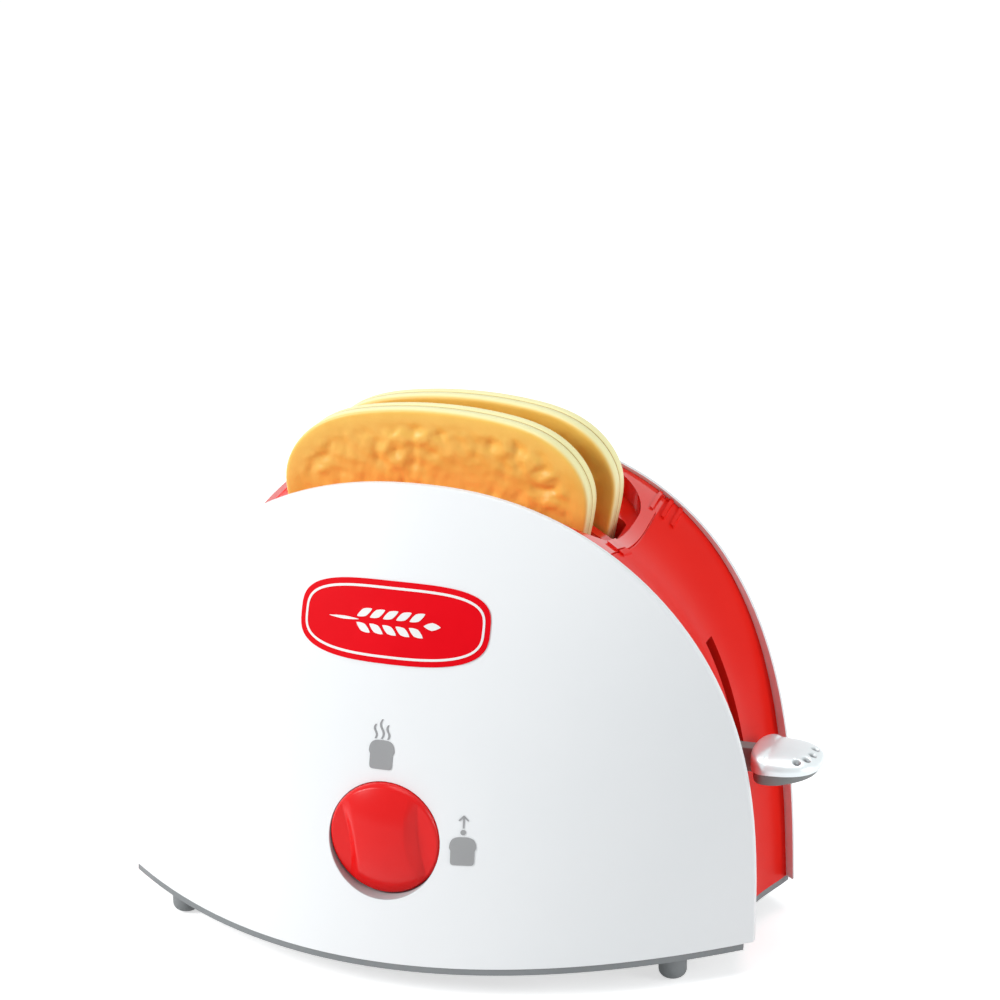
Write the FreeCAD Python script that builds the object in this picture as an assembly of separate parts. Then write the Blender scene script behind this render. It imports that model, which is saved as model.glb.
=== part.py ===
import FreeCAD, Part
import math
import os

from FreeCAD import Vector

os.makedirs("parts", exist_ok=True)

# A child's toy pop-up toaster, in millimetres.
# X runs along the toaster towards the lever, -Y is the front with the dial, Z is up.
# It is drawn round the middle between the four feet, and saved round the middle of its whole
# length, lever included, on the table.

# ---------------------------------------------------------------- driving dimensions
panel_length = 205.0          # front panel, corner to corner
rim_height = 147.2            # crown of the panels above the table
foot_height = 8.0
base_thickness = 2.0          # the grey lip that shows under the panels
dome_foot = 2.6               # straight part of the outline under the dome curve
dome_power_x = 2.2            # the dome outline is a superellipse
dome_power_z = 2.75
corner_depth = 49.8           # front to back over the panels, at their bottom corners
crown_corner_depth = 29.7     # the same line carried up to the crown
belly_bow = 47.1              # how far a panel's middle stands out at the bottom
crown_bow = 18.0              # the same at the crown
panel_wall = 2.0              # measured along Y
rim_round = 0.7

# the red saddle between the panels
band_wall = 2.2
band_step_end = 1.8           # the saddle stays this far inside the panels' outline
band_step_top = 0.8
end_scoop = 6.4               # further hollow of the saddle at the two ends
top_scoop = 2.7               # and at the crown
scoop_reach = 33.0            # distance from the middle where the hollow runs out
seam_width = 0.5
seam_depth = 0.5

# the sunk field round the bread slots
field_length = 110.0
field_width = 56.0
field_corner = 15.0
field_depth = 5.5
field_wall = 2.0
cover_length = field_length + 7.0   # top cover, from parting line to parting line

# bread and slots
slice_width = 97.0
slice_height = 96.5
slice_thickness = 10.0
slice_wall = 1.6
slice_pitch = 17.0            # between the two slices, middle to middle
slice_shift = 1.7             # the front slice leans to the left end of its slot, the other right
slot_side_gap = 1.3
slot_end_gap = 2.2
seat_gap = 0.3                # bread to shelf

# the carriage and its travel
travel_up = rim_height * 0.2174
travel_down = travel_up
arm_bottom = rim_height * 0.377
slice_bottom = arm_bottom + 12.5    # height of the slices' lower edge
shelf_thickness = 1.6
shelf_width = 8.0
rail_width = 3.0
rail_depth = 5.0
well_wall = 1.5
well_bottom = slice_bottom - travel_down - 8.0
rod_radius = 2.0
rod_pitch = 20.0
slide_gap = 0.15
slider_length = 10.0
slider_width = 28.0
slider_height = 16.0
slot_length = slice_width + 2.0 * slot_end_gap
bar_start = slot_length / 2.0 + well_wall + 1.5
bar_length = 4.8
rod_station = bar_start + bar_length + slider_length / 2.0   # distance of the rods from the middle

# the lever
arm_width = 5.0
arm_height = 7.8
slot_gap = 0.6
cap_back = panel_length / 2.0 - 4.3
cap_length = 19.4
cap_width = 24.0
cap_rise = 5.0
cap_rim = 1.4
cap_wall = 1.5
tray_thickness = 3.2
dimple_radius = 1.4
dimple_reach = 0.88           # how far out on the cap the dimples lie, as a share

# the dial
dial_height = 47.0
dial_radius = 17.05
dial_gap = 0.55
liner_wall = 1.3
dial_sink = 2.5               # rim of the dial under the panel's face
dial_crown = 5.0
dial_thickness = 7.5
scoop_radius = 14.0           # the two hollows beside the grip are cut by upright rods
scoop_x = 16.8
scoop_sink = 0.5              # how far they cut under the dial's rim
stem_radius = 3.5
stem_gap = 0.15

# the latch behind the dial
latch_plane = 34.0            # distance of the latch lever from the middle plane
latch_thickness = 3.0
latch_gap = 0.4
latch_pivot_x = rod_station - 7.5
latch_pivot_z = dial_height + 1.0
pin_radius = 1.5
pin_gap = 0.1

# screws and feet
screw_radius = 1.3
screw_head = 2.8
screw_head_height = 1.6
foot_radius = 4.3
foot_round = 2.7
foot_x = 80.0
foot_y = 34.5

# ---------------------------------------------------------------- worked-out places
panel_bottom = foot_height + base_thickness
half_length = panel_length / 2.0
dome_base = panel_bottom + dome_foot
dome_rise = rim_height - dome_base
length_middle = (cap_back + cap_length - half_length) / 2.0
beyond = 1.0                  # how far a cutter runs past the face it cuts
far = 200.0


def block(x0, x1, y0, y1, z0, z1):
    """A box from its two opposite corners."""
    return Part.makeBox(x1 - x0, y1 - y0, z1 - z0, Vector(x0, y0, z0))


def rod(radius, start, end):
    """A round bar from start to end."""
    axis = end - start
    return Part.makeCylinder(radius, axis.Length, start, axis)


def fuse(shapes):
    """One solid out of several that touch."""
    return shapes[0].multiFuse(shapes[1:]).removeSplitter()


def mirror_x(shape):
    return shape.mirror(Vector(0, 0, 0), Vector(1, 0, 0))


def mirror_y(shape):
    return shape.mirror(Vector(0, 0, 0), Vector(0, 1, 0))


def save(name, shape):
    shape.translated(Vector(-length_middle, 0, 0)).exportStep("parts/" + name + ".step")


# ---------------------------------------------------------------- the three main surfaces
def half_depth(x, z):
    """Distance from the middle plane to a panel's outer face."""
    rise = (z - panel_bottom) / (rim_height - panel_bottom)
    corner = corner_depth + (crown_corner_depth - corner_depth) * rise
    bow = belly_bow + (crown_bow - belly_bow) * rise ** 2
    return corner / 2.0 + bow * (1.0 - (x / half_length) ** 2)


def middle_pole(low, middle, high):
    """The control value that carries a quadratic through its middle value."""
    return 2.0 * middle - (low + high) / 2.0


def bowed_face(inset):
    """The front panel's face, moved inwards by inset. It is an exact quadratic patch."""
    xs = [-1.15 * half_length, 0.0, 1.15 * half_length]
    zs = [0.0, (rim_height + 10.0) / 2.0, rim_height + 10.0]
    depth = [[half_depth(x, z) - inset for z in zs] for x in xs]
    for row in depth:
        row[1] = middle_pole(row[0], row[1], row[2])
    for column in range(3):
        depth[1][column] = middle_pole(depth[0][column], depth[1][column], depth[2][column])
    patch = Part.BezierSurface()
    patch.increase(2, 2)
    for i in range(3):
        for j in range(3):
            patch.setPole(i + 1, j + 1, Vector(xs[i], -depth[i][j], zs[j]))
    return patch.toShape()


def between_panels(inset):
    """All the space between the two bowed faces, each moved inwards by inset."""
    front = bowed_face(inset).extrude(Vector(0, far, 0))
    return front.common(mirror_y(front))


def saddle_hollow(y):
    """Share of the full hollow at distance y from the middle plane."""
    return (1.0 - min(abs(y) / scoop_reach, 1.0) ** 2) ** 2


def dome_wire(y, inset_x, inset_z, low):
    """The dome outline in the plane at y, closed by straight lines down to low."""
    reach = half_length - inset_x
    rise = dome_rise - inset_z
    points = []
    for degrees in range(0, 181, 5):
        angle = math.radians(degrees)
        across = math.copysign(abs(math.cos(angle)) ** (2.0 / dome_power_x), math.cos(angle))
        up = abs(math.sin(angle)) ** (2.0 / dome_power_z)
        points.append(Vector(reach * across, y, dome_base + rise * up))
    points[0].z = dome_base
    points[-1].z = dome_base
    crown = Part.BSplineCurve()
    crown.interpolate(Points=points)
    right_low = Vector(reach, y, low)
    left_low = Vector(-reach, y, low)
    sides = [
        crown.toShape(),
        Part.makeLine(points[-1], left_low),
        Part.makeLine(left_low, right_low),
        Part.makeLine(right_low, points[0]),
    ]
    return Part.Wire(sides)


def dome_prism(inset, low):
    """The dome outline, moved inwards by inset and run straight through front to back."""
    wire = dome_wire(-far / 2.0, inset, inset, low)
    return Part.Face(wire).extrude(Vector(0, far, 0))


def saddle(inset, low):
    """The hollowed dome between the panels, moved inwards by inset."""
    wires = []
    for share in (-1.3, -1.0, -0.667, -0.333, 0.0, 0.333, 0.667, 1.0, 1.3):
        y = scoop_reach * share
        hollow = saddle_hollow(y)
        wires.append(dome_wire(y, inset + band_step_end + end_scoop * hollow,
                               inset + band_step_top + top_scoop * hollow, low))
    return Part.makeLoft(wires, True, False)


def rounded_block(length, width, corner, z0, z1):
    """An upright block round the Z axis with rounded corners."""
    body = block(-length / 2.0, length / 2.0, -width / 2.0, width / 2.0, z0, z1)
    upright = [edge for edge in body.Edges if abs(edge.tangentAt(edge.FirstParameter).z) > 0.9]
    return body.makeFillet(corner, upright)


inner_space = between_panels(panel_wall)
saddle_outside = saddle(0.0, foot_height)
saddle_inside = saddle(band_wall, 0.0)
field_floor_top = saddle(field_depth, 0.0)
field_floor_under = saddle(field_depth + field_wall, 0.0)
band = saddle_outside.cut(saddle_inside).common(inner_space)
band = band.common(block(-far, far, -far, far, panel_bottom, far))


# ---------------------------------------------------------------- screws and their bosses
def screw(tip, direction, length, head_radius=screw_head):
    """A pan-head screw: the shank runs from its head to tip, direction points at the tip."""
    head_face = tip - direction * length
    shank = rod(screw_radius, head_face, tip)
    head = rod(head_radius, head_face - direction * screw_head_height, head_face)
    rim = [edge for edge in head.Edges if edge.Length > head_radius * 6.0][:1]
    head = head.makeFillet(0.3 * screw_head_height, rim)
    slot_length = head_radius * 1.2
    slot_width = head_radius * 0.25
    across = Part.makeBox(slot_length, slot_width, 0.5 * screw_head_height)
    across.translate(Vector(-slot_length / 2.0, -slot_width / 2.0, 0.0))
    cross = across.fuse(across.rotated(Vector(0, 0, 0), Vector(0, 0, 1), 90.0))
    turn = FreeCAD.Rotation(Vector(0, 0, 1), direction)
    cross.Placement = FreeCAD.Placement(head_face - direction * screw_head_height, turn)
    return shank.fuse(head.cut(cross))


boss_radius = 3.5
boss_pad = 1.5                # raised pad of the base under each boss
boss_foot = panel_bottom + boss_pad
boss_height = 11.0
boss_x = 48.0
boss_y = half_depth(boss_x, panel_bottom) - panel_wall - boss_radius - 4.0
end_boss_x = half_length - band_step_end - end_scoop - band_wall - boss_radius - 2.6
rib_width = 1.8
counterbore = 1.9
screw_bite = 8.0

panel_boss_places = [(sx * boss_x, sy * boss_y) for sx in (-1, 1) for sy in (-1, 1)]
end_boss_places = [(-end_boss_x, 0.0), (end_boss_x, 0.0)]


def boss(x, y):
    """An upright screw boss on the base's pad, with its pilot hole still to be cut."""
    return rod(boss_radius, Vector(x, y, boss_foot), Vector(x, y, boss_foot + boss_height))


def pilot(x, y):
    return rod(screw_radius, Vector(x, y, 0.0), Vector(x, y, boss_foot + screw_bite + 1.0))


# ---------------------------------------------------------------- the white panels
lip_inset = 8.2               # locating lip inside the band, from the dome outline
lip_wall = 1.7
lip_end = 17.0                # distance of the lip's free edge from the middle plane
lip_low = 24.0
lip_high = 92.0


def panel_shell():
    """The front panel without its dial hole: bowed skin, rounded rim, lips and bosses."""
    outline = dome_prism(0.0, panel_bottom)
    skin = bowed_face(0.0).extrude(Vector(0, panel_wall, 0)).common(outline).Solids[0]
    rim = max(skin.Edges, key=lambda edge: edge.Length - edge.CenterOfMass.y)
    skin = skin.makeFillet(rim_round, [rim])
    ring = dome_prism(lip_inset, 0.0).cut(dome_prism(lip_inset + lip_wall, 0.0))
    reach = bowed_face(panel_wall / 2.0).extrude(Vector(0, far, 0))
    window = block(-far, far, -far, -lip_end, lip_low, lip_high)
    lips = ring.common(reach).common(window)
    pieces = [skin] + lips.Solids
    for x in (-boss_x, boss_x):
        web = block(x - rib_width / 2.0, x + rib_width / 2.0, -far, -boss_y,
                    boss_foot, boss_foot + boss_height)
        pieces.append(boss(x, -boss_y).fuse(web.common(reach)))
    shell = fuse(pieces)
    for x in (-boss_x, boss_x):
        shell = shell.cut(pilot(x, -boss_y))
    return shell


dial_face = half_depth(0.0, dial_height)
liner_radius = dial_radius + dial_gap + liner_wall


def dial_rod(radius, front, back):
    """A round bar on the dial's axis, between two distances from the middle plane."""
    return rod(radius, Vector(0, -front, dial_height), Vector(0, -back, dial_height))


plain_panel = panel_shell()
front_panel = plain_panel.cut(dial_rod(dial_radius + dial_gap, far / 2.0, dial_face - 20.0))
back_panel = mirror_y(plain_panel)

# ---------------------------------------------------------------- the red top cover
cover_half = cover_length / 2.0
slot_width = slice_thickness + 2.0 * slot_side_gap
slice_rows = (-slice_pitch / 2.0, slice_pitch / 2.0)
slot_corner = 1.6

field_outline = rounded_block(field_length, field_width, field_corner, 0.0, far)
tub_outline = rounded_block(field_length + 2.0 * field_wall, field_width + 2.0 * field_wall,
                            field_corner + field_wall, 0.0, far)


def bread_slot(y, grow, z0, z1):
    """The straight-sided space of one slot, grown by grow all round."""
    slot = rounded_block(slot_length + 2.0 * grow, slot_width + 2.0 * grow,
                         slot_corner + grow, z0, z1)
    return slot.translated(Vector(0, y, 0))


seam_floor = saddle(seam_depth, 0.0)


def seam_groove(x):
    """The fine groove round the parting line at x."""
    cutter = block(x - seam_width / 2.0, x + seam_width / 2.0, -far, far, panel_bottom, far)
    return cutter.cut(seam_floor)


grooves = seam_groove(cover_half).fuse(seam_groove(-cover_half))

# three grip ribs and a sunk window near the back, a small tongue near the front
rib_start = 19.5
rib_length = 11.0
rib_proud = 0.6
rib_stations = (57.1, 60.6, 63.6)
rib_thickness = 0.9
tongue_start = 11.5
tongue_length = 8.0
tongue_width = 3.4
raised_skin = saddle(-rib_proud, 0.0).cut(saddle_inside)
sunk_skin = saddle_outside.cut(seam_floor)


def grip_rib(x):
    bar = block(x - rib_thickness / 2.0, x + rib_thickness / 2.0,
                rib_start, rib_start + rib_length, panel_bottom, far)
    return bar.common(raised_skin)


def grip_window():
    window = block(rib_stations[0] + rib_thickness / 2.0, rib_stations[1] - rib_thickness / 2.0,
                   rib_start + 0.8, rib_start + rib_length - 0.8, panel_bottom, far)
    return window.common(sunk_skin)


def tongue():
    body = block(cover_half - tongue_width, cover_half + tongue_width / 2.0,
                 -tongue_start - tongue_length, -tongue_start, panel_bottom, far)
    return body.common(raised_skin)


def make_top_cover():
    zone = block(-cover_half, cover_half, -far, far, 0.0, far)
    tub = saddle_outside.cut(field_floor_under).common(tub_outline).common(inner_space)
    cover = band.common(zone).fuse(tub.common(zone))
    cover = cover.cut(field_outline.cut(field_floor_top))
    for y in slice_rows:
        cover = cover.cut(bread_slot(y, 0.0, 0.0, far))
    details = [grip_rib(rib_stations[0]), tongue().common(zone)]
    cover = fuse([cover] + details + [mirror_x(detail) for detail in details])
    window = grip_window().common(zone)
    return cover.cut(window).cut(mirror_x(window)).cut(grooves)


# ---------------------------------------------------------------- the red end shells
slot_half = arm_width / 2.0 + slot_gap
slot_low = arm_bottom - travel_down - 1.0
slot_high = arm_bottom + arm_height + travel_up + slot_gap
slot_frame = 1.8              # thickened border inside the lever slot


def make_end_shell():
    """The right-hand end shell before its lever slot."""
    zone = block(cover_half, far, -far, far, 0.0, far)
    web = block(end_boss_x, far, -rib_width / 2.0, rib_width / 2.0,
                boss_foot, boss_foot + boss_height)
    post = boss(end_boss_x, 0.0).fuse(web.common(saddle_outside))
    details = [grip_rib(x) for x in rib_stations[1:]] + [tongue().common(zone)]
    shell = fuse([band.common(zone), post] + details)
    window = grip_window().common(zone)
    return shell.cut(window).cut(grooves).cut(pilot(end_boss_x, 0.0))


def add_lever_slot(shell):
    border = block(cover_half, far, -slot_half - slot_frame, slot_half + slot_frame,
                   slot_low - slot_frame, slot_high + slot_frame)
    border = border.common(saddle_inside.cut(saddle(band_wall + slot_frame, 0.0)))
    opening = block(cover_half + 5.0, far, -slot_half, slot_half, slot_low, slot_high)
    return fuse([shell, border]).cut(opening)


# ---------------------------------------------------------------- the grey base and feet
base_inset = 0.2
seat_gap_ring = 0.3
ring_wall = 1.8
ring_height = 4.0
end_tab_start = 5.0
end_tab_length = 9.0
centre_tab_reach = 0.29 * half_length
side_tab_start = 0.585 * half_length
side_tab_end = 0.8 * half_length
rod_boss_radius = 4.5
rod_boss_height = 2.0
foot_peg = 2.0
foot_places = [(sx * foot_x, sy * foot_y) for sx in (-1, 1) for sy in (-1, 1)]
rod_places = [(rod_station, -rod_pitch / 2.0), (rod_station, rod_pitch / 2.0)]


def make_base_plate():
    slab = block(-far, far, -far, far, foot_height, panel_bottom)
    ends = block(-far, far, -scoop_reach, scoop_reach, foot_height, panel_bottom).cut(saddle_outside)
    plate = between_panels(base_inset).common(slab).cut(ends)
    depth = panel_wall + seat_gap_ring
    wall = between_panels(depth).cut(between_panels(depth + ring_wall))
    ring_top = panel_bottom + ring_height
    centre_tab = block(-centre_tab_reach, centre_tab_reach, -far, far, panel_bottom, ring_top)
    side_tab = block(side_tab_start, side_tab_end, -far, far, panel_bottom, ring_top)
    tabs = [wall.common(window) for window in (centre_tab, side_tab, mirror_x(side_tab))]
    hollow = end_scoop * saddle_hollow(end_tab_start)
    end_face = half_length - band_step_end - hollow - band_wall - seat_gap_ring
    for y in (-end_tab_start - end_tab_length, end_tab_start):
        end_tab = block(end_face - ring_wall, end_face, y, y + end_tab_length, panel_bottom, ring_top)
        tabs += [end_tab, mirror_x(end_tab)]
    pads = [rod(boss_radius + 1.0, Vector(x, y, panel_bottom), Vector(x, y, boss_foot))
            for x, y in panel_boss_places + end_boss_places]
    seats = [rod(rod_boss_radius, Vector(x, y, panel_bottom),
                 Vector(x, y, panel_bottom + rod_boss_height)) for x, y in rod_places]
    base = fuse([plate] + tabs + pads + seats)
    for x, y in panel_boss_places + end_boss_places:
        base = base.cut(rod(screw_head + 0.5, Vector(x, y, 0), Vector(x, y, foot_height + counterbore)))
        base = base.cut(pilot(x, y))
    for x, y in rod_places:
        base = base.cut(rod(rod_radius, Vector(x, y, panel_bottom), Vector(x, y, far)))
    for x, y in foot_places:
        base = base.cut(rod(foot_peg, Vector(x, y, 0), Vector(x, y, far)))
    return base


def make_base_screws():
    """Six screws that come up through the base into the bosses of panels and end shells."""
    tip = boss_foot + screw_bite
    length = tip - foot_height - counterbore
    return Part.makeCompound([screw(Vector(x, y, tip), Vector(0, 0, 1), length)
                              for x, y in panel_boss_places + end_boss_places])


def make_foot(x, y):
    """A round stub foot with a small flat under it and a peg through the base."""
    stub = rod(foot_radius, Vector(x, y, 0), Vector(x, y, foot_height))
    under = min(stub.Edges, key=lambda edge: edge.CenterOfMass.z)
    stub = stub.makeFillet(foot_round, [under])
    peg = rod(foot_peg, Vector(x, y, foot_height - beyond), Vector(x, y, panel_bottom))
    return stub.fuse(peg)


# ---------------------------------------------------------------- the bread well
well_top = field_depth + field_wall
flange_wall = 1.6
flange_margin = 4.0           # how far the flange reaches past the slots
web_gap = 1.0
shelf_top = slice_bottom - seat_gap
web_slot_high = shelf_top + travel_up + 2.0


def make_bread_well():
    """Two open chutes under the slots, joined by a flange that lies under the field."""
    flange = field_floor_under.cut(saddle(well_top + flange_wall, 0.0))
    flange = flange.common(rounded_block(slot_length + 2.0 * flange_margin,
                                         slice_pitch + slot_width + 2.0 * flange_margin,
                                         flange_margin, 0.0, far))
    chutes = [bread_slot(y, well_wall, well_bottom, far).common(field_floor_under)
              for y in slice_rows]
    well = fuse([flange] + chutes)
    for y in slice_rows:
        well = well.cut(bread_slot(y, 0.0, 0.0, far))
        half = rail_width / 2.0 + web_gap
        well = well.cut(block(0.0, far, y - half, y + half, 0.0, web_slot_high))
    return well


# ---------------------------------------------------------------- carriage on its two rods
slider_low = arm_bottom + 0.5
slider_high = slider_low + slider_height
slider_start = rod_station - slider_length / 2.0
slider_end = rod_station + slider_length / 2.0
shelf_half = slice_width / 2.0 - 1.5
catch_height = 4.0
catch_width = 6.0
catch_end = latch_plane + latch_thickness / 2.0 + 0.5
lever_screw_y = 5.5
lever_screw_z = slider_high - 4.0
lever_screw_length = 8.0
flange_thickness = 2.5


def make_carriage():
    pieces = []
    for y in slice_rows:
        shelf = rounded_block(2.0 * shelf_half, shelf_width, 2.0,
                              shelf_top - shelf_thickness, shelf_top)
        pieces.append(shelf.translated(Vector(0, y, 0)))
        pieces.append(block(-shelf_half + 3.0, bar_start + beyond,
                            y - rail_width / 2.0, y + rail_width / 2.0,
                            shelf_top - shelf_thickness - rail_depth, shelf_top - shelf_thickness))
    half_bar = slice_pitch / 2.0 + rail_width
    pieces.append(block(bar_start, slider_start, -half_bar, half_bar,
                        shelf_top - shelf_thickness - rail_depth - 1.0, shelf_top))
    slider = block(slider_start, slider_end, -slider_width / 2.0, slider_width / 2.0,
                   slider_low, slider_high)
    upright = [edge for edge in slider.Edges
               if abs(edge.tangentAt(edge.FirstParameter).z) > 0.9
               and edge.CenterOfMass.x > rod_station]
    pieces.append(slider.makeFillet(2.0, upright))
    catch_x = rod_station
    pieces.append(block(catch_x - catch_width / 2.0, catch_x + catch_width / 2.0,
                        -catch_end, -slider_width / 2.0 + beyond,
                        slider_low, slider_low + catch_height))
    rib = block(catch_x - 1.0, catch_x + 1.0, -slider_width / 2.0 - 12.0,
                -slider_width / 2.0 + beyond, slider_low, slider_high - 4.0)
    slope_line = Part.makePolygon([
        Vector(catch_x - 2.0, -slider_width / 2.0 - 12.0 - beyond, slider_low + catch_height),
        Vector(catch_x - 2.0, -slider_width / 2.0, slider_high - 4.0 + beyond),
        Vector(catch_x - 2.0, -far, slider_high + far),
        Vector(catch_x - 2.0, -slider_width / 2.0 - 12.0 - beyond, slider_low + catch_height),
    ])
    slope = Part.Face(slope_line).extrude(Vector(4.0, 0, 0))
    pieces.append(rib.cut(slope))
    carriage = fuse(pieces)
    for x, y in rod_places:
        carriage = carriage.cut(rod(rod_radius + slide_gap, Vector(x, y, 0), Vector(x, y, far)))
    for y in (-lever_screw_y, lever_screw_y):
        start = Vector(slider_end - lever_screw_length + flange_thickness, y, lever_screw_z)
        carriage = carriage.cut(rod(screw_radius, start, start + Vector(far, 0, 0)))
    return carriage


# ---------------------------------------------------------------- rods, their bracket and springs
bracket_low = slider_high + travel_up + 2.0
bracket_thickness = 3.5
bracket_end = rod_station + 4.5
spring_wire = 0.5
spring_radius = rod_radius + 1.1
spring_turns = 7.0
spring_foot = panel_bottom + rod_boss_height
well_end = slot_length / 2.0 + well_wall


def make_rod_bracket():
    half = rod_pitch / 2.0 + 5.0
    plate = block(well_end, bracket_end, -half, half, bracket_low, bracket_low + bracket_thickness)
    corners = [edge for edge in plate.Edges
               if abs(edge.tangentAt(edge.FirstParameter).z) > 0.9
               and edge.CenterOfMass.x > rod_station]
    plate = plate.makeFillet(3.0, corners)
    gusset_line = Part.makePolygon([
        Vector(well_end, 0, bracket_low + bracket_thickness),
        Vector(well_end, 0, bracket_low + bracket_thickness + 6.0),
        Vector(well_end + 6.0, 0, bracket_low + bracket_thickness),
        Vector(well_end, 0, bracket_low + bracket_thickness),
    ])
    gusset = Part.Face(gusset_line).extrude(Vector(0, rib_width, 0))
    ears = [gusset.translated(Vector(0, y, 0)) for y in (-half, half - rib_width)]
    bracket = fuse([plate] + ears)
    for x, y in rod_places:
        bracket = bracket.cut(rod(rod_radius, Vector(x, y, 0), Vector(x, y, far)))
    return bracket


def make_guide_rods():
    top = bracket_low + bracket_thickness
    return Part.makeCompound([rod(rod_radius, Vector(x, y, panel_bottom), Vector(x, y, top))
                              for x, y in rod_places])


def coil(wire, radius, turns, start, direction, length):
    """A coil spring of round wire along direction, from start."""
    run = length - 2.0 * wire
    path = Part.makeHelix(run / turns, run, radius)
    section = Part.Wire(Part.Circle(Vector(radius, 0, 0), Vector(0, 1, 0), wire).toShape())
    body = Part.Wire(path).makePipeShell([section], True, True)
    turn = FreeCAD.Rotation(Vector(0, 0, 1), direction)
    body.Placement = FreeCAD.Placement(start + direction * wire, turn)
    return body


def make_lift_springs():
    up = Vector(0, 0, 1)
    return Part.makeCompound([coil(spring_wire, spring_radius, spring_turns,
                                   Vector(x, y, spring_foot), up, slider_low - spring_foot)
                              for x, y in rod_places])


# ---------------------------------------------------------------- the lever outside
arm_top = arm_bottom + arm_height
tray_top = arm_bottom + tray_thickness


def stretch(shape, length, half_width, rise):
    """A unit shape stretched to its three sizes."""
    scale = FreeCAD.Matrix()
    scale.scale(length, half_width, rise)
    return shape.transformGeometry(scale)


def half_ellipse_plate(length, half_width, x, z0, z1):
    """A D-shaped plate: straight at x, half an ellipse beyond it."""
    drum = Part.makeCylinder(1.0, 1.0, Vector(0, 0, 0), Vector(0, 0, 1), 180)
    drum.rotate(Vector(0, 0, 0), Vector(0, 0, 1), -90)
    return stretch(drum, length, half_width, z1 - z0).translated(Vector(x, 0, z0))


def quarter_dome(length, half_width, rise, x, z):
    """A quarter of an ellipsoid, flat at x and at z."""
    ball = Part.makeSphere(1.0, Vector(0, 0, 0), Vector(0, 0, 1), 0, 90, 180)
    ball.rotate(Vector(0, 0, 0), Vector(0, 0, 1), -90)
    return stretch(ball, length, half_width, rise).translated(Vector(x, 0, z))


def make_lever_arm():
    flange = block(slider_end, slider_end + flange_thickness, -9.0, 9.0, arm_bottom, slider_high)
    edges = [edge for edge in flange.Edges
             if abs(edge.tangentAt(edge.FirstParameter).x) > 0.9]
    flange = flange.makeFillet(2.0, edges)
    blade = block(slider_end, cap_back + cap_wall + 2.0, -arm_width / 2.0, arm_width / 2.0,
                  arm_bottom, arm_top)
    tray = half_ellipse_plate(cap_length - 1.0, cap_width / 2.0 - 1.0, cap_back,
                              arm_bottom, tray_top)
    slope_line = Part.makePolygon([
        Vector(cap_back + 4.0, -far / 2.0, arm_bottom - beyond),
        Vector(cap_back + 4.0, -far / 2.0, arm_bottom),
        Vector(cap_back + cap_length, -far / 2.0, arm_bottom + 0.65 * tray_thickness),
        Vector(cap_back + cap_length + beyond, -far / 2.0, arm_bottom - beyond),
        Vector(cap_back + 4.0, -far / 2.0, arm_bottom - beyond),
    ])
    tray = tray.cut(Part.Face(slope_line).extrude(Vector(0, far, 0)))
    arm = fuse([flange, blade, tray])
    for y in (-lever_screw_y, lever_screw_y):
        start = Vector(slider_end - beyond, y, lever_screw_z)
        arm = arm.cut(rod(screw_radius, start, start + Vector(flange_thickness + 2.0, 0, 0)))
    return arm


def make_lever_cap():
    """The silver paddle: a thin quarter dome over the tray, with four dimples near its edge."""
    half = cap_width / 2.0
    rim_top = tray_top + cap_rim
    dome = quarter_dome(cap_length, half, cap_rise, cap_back, rim_top)
    rim = half_ellipse_plate(cap_length, half, cap_back, tray_top, rim_top)
    body = fuse([dome, rim])
    hollow_start = cap_back + cap_wall
    hollow = quarter_dome(cap_length - 2.0 * cap_wall, half - cap_wall, cap_rise - cap_wall,
                          hollow_start, rim_top)
    rim_hollow = half_ellipse_plate(cap_length - 2.0 * cap_wall, half - cap_wall, hollow_start,
                                    tray_top - beyond, rim_top)
    body = body.cut(fuse([hollow, rim_hollow]))
    z = rim_top + cap_rise * math.sqrt(1.0 - dimple_reach ** 2) + 0.6 * dimple_radius
    for turn in (-50.0, -28.0, -6.0, 16.0):
        x = cap_back + cap_length * dimple_reach * math.cos(math.radians(turn))
        y = half * dimple_reach * math.sin(math.radians(turn))
        body = body.cut(Part.makeSphere(dimple_radius, Vector(x, y, z)))
    neck = block(cap_back - beyond, hollow_start + beyond, -arm_width / 2.0, arm_width / 2.0,
                 tray_top - beyond, arm_top)
    return body.cut(neck)


def make_lever_screws():
    screws = []
    for y in (-lever_screw_y, lever_screw_y):
        tip = Vector(slider_end + flange_thickness - lever_screw_length, y, lever_screw_z)
        screws.append(screw(tip, Vector(-1, 0, 0), lever_screw_length, 2.3))
    return Part.makeCompound(screws)


# ---------------------------------------------------------------- dial, liner and release cam
rim_plane = dial_face - dial_sink
dial_back = rim_plane - dial_thickness
liner_floor = dial_back - 0.4
liner_floor_wall = 1.5
cam_front = latch_plane + latch_thickness / 2.0 + 0.4
cam_back = latch_plane - latch_thickness / 2.0 - 0.4
hub_radius = 6.0
finger_length = 12.0
finger_width = 4.0
stem_flat = 2.4


def make_dial_liner():
    """The grey cup behind the hole in the panel, with a collar against the panel's back."""
    behind_panel = bowed_face(panel_wall).extrude(Vector(0, far, 0))
    cup = dial_rod(liner_radius, far / 2.0, liner_floor - liner_floor_wall).common(behind_panel)
    collar = bowed_face(panel_wall).extrude(Vector(0, 1.5, 0))
    collar = collar.common(dial_rod(liner_radius + 3.0, far / 2.0, 0.0))
    liner = fuse([cup, collar])
    liner = liner.cut(dial_rod(dial_radius + dial_gap, far / 2.0, liner_floor))
    return liner.cut(dial_rod(stem_radius + stem_gap, far / 2.0, 0.0))


def stem_end():
    """The flatted end of the stem that carries the cam."""
    flat = block(-far, far, -far, 0.0, dial_height + stem_flat, far)
    return dial_rod(stem_radius, cam_front, cam_back).cut(flat)


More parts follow.
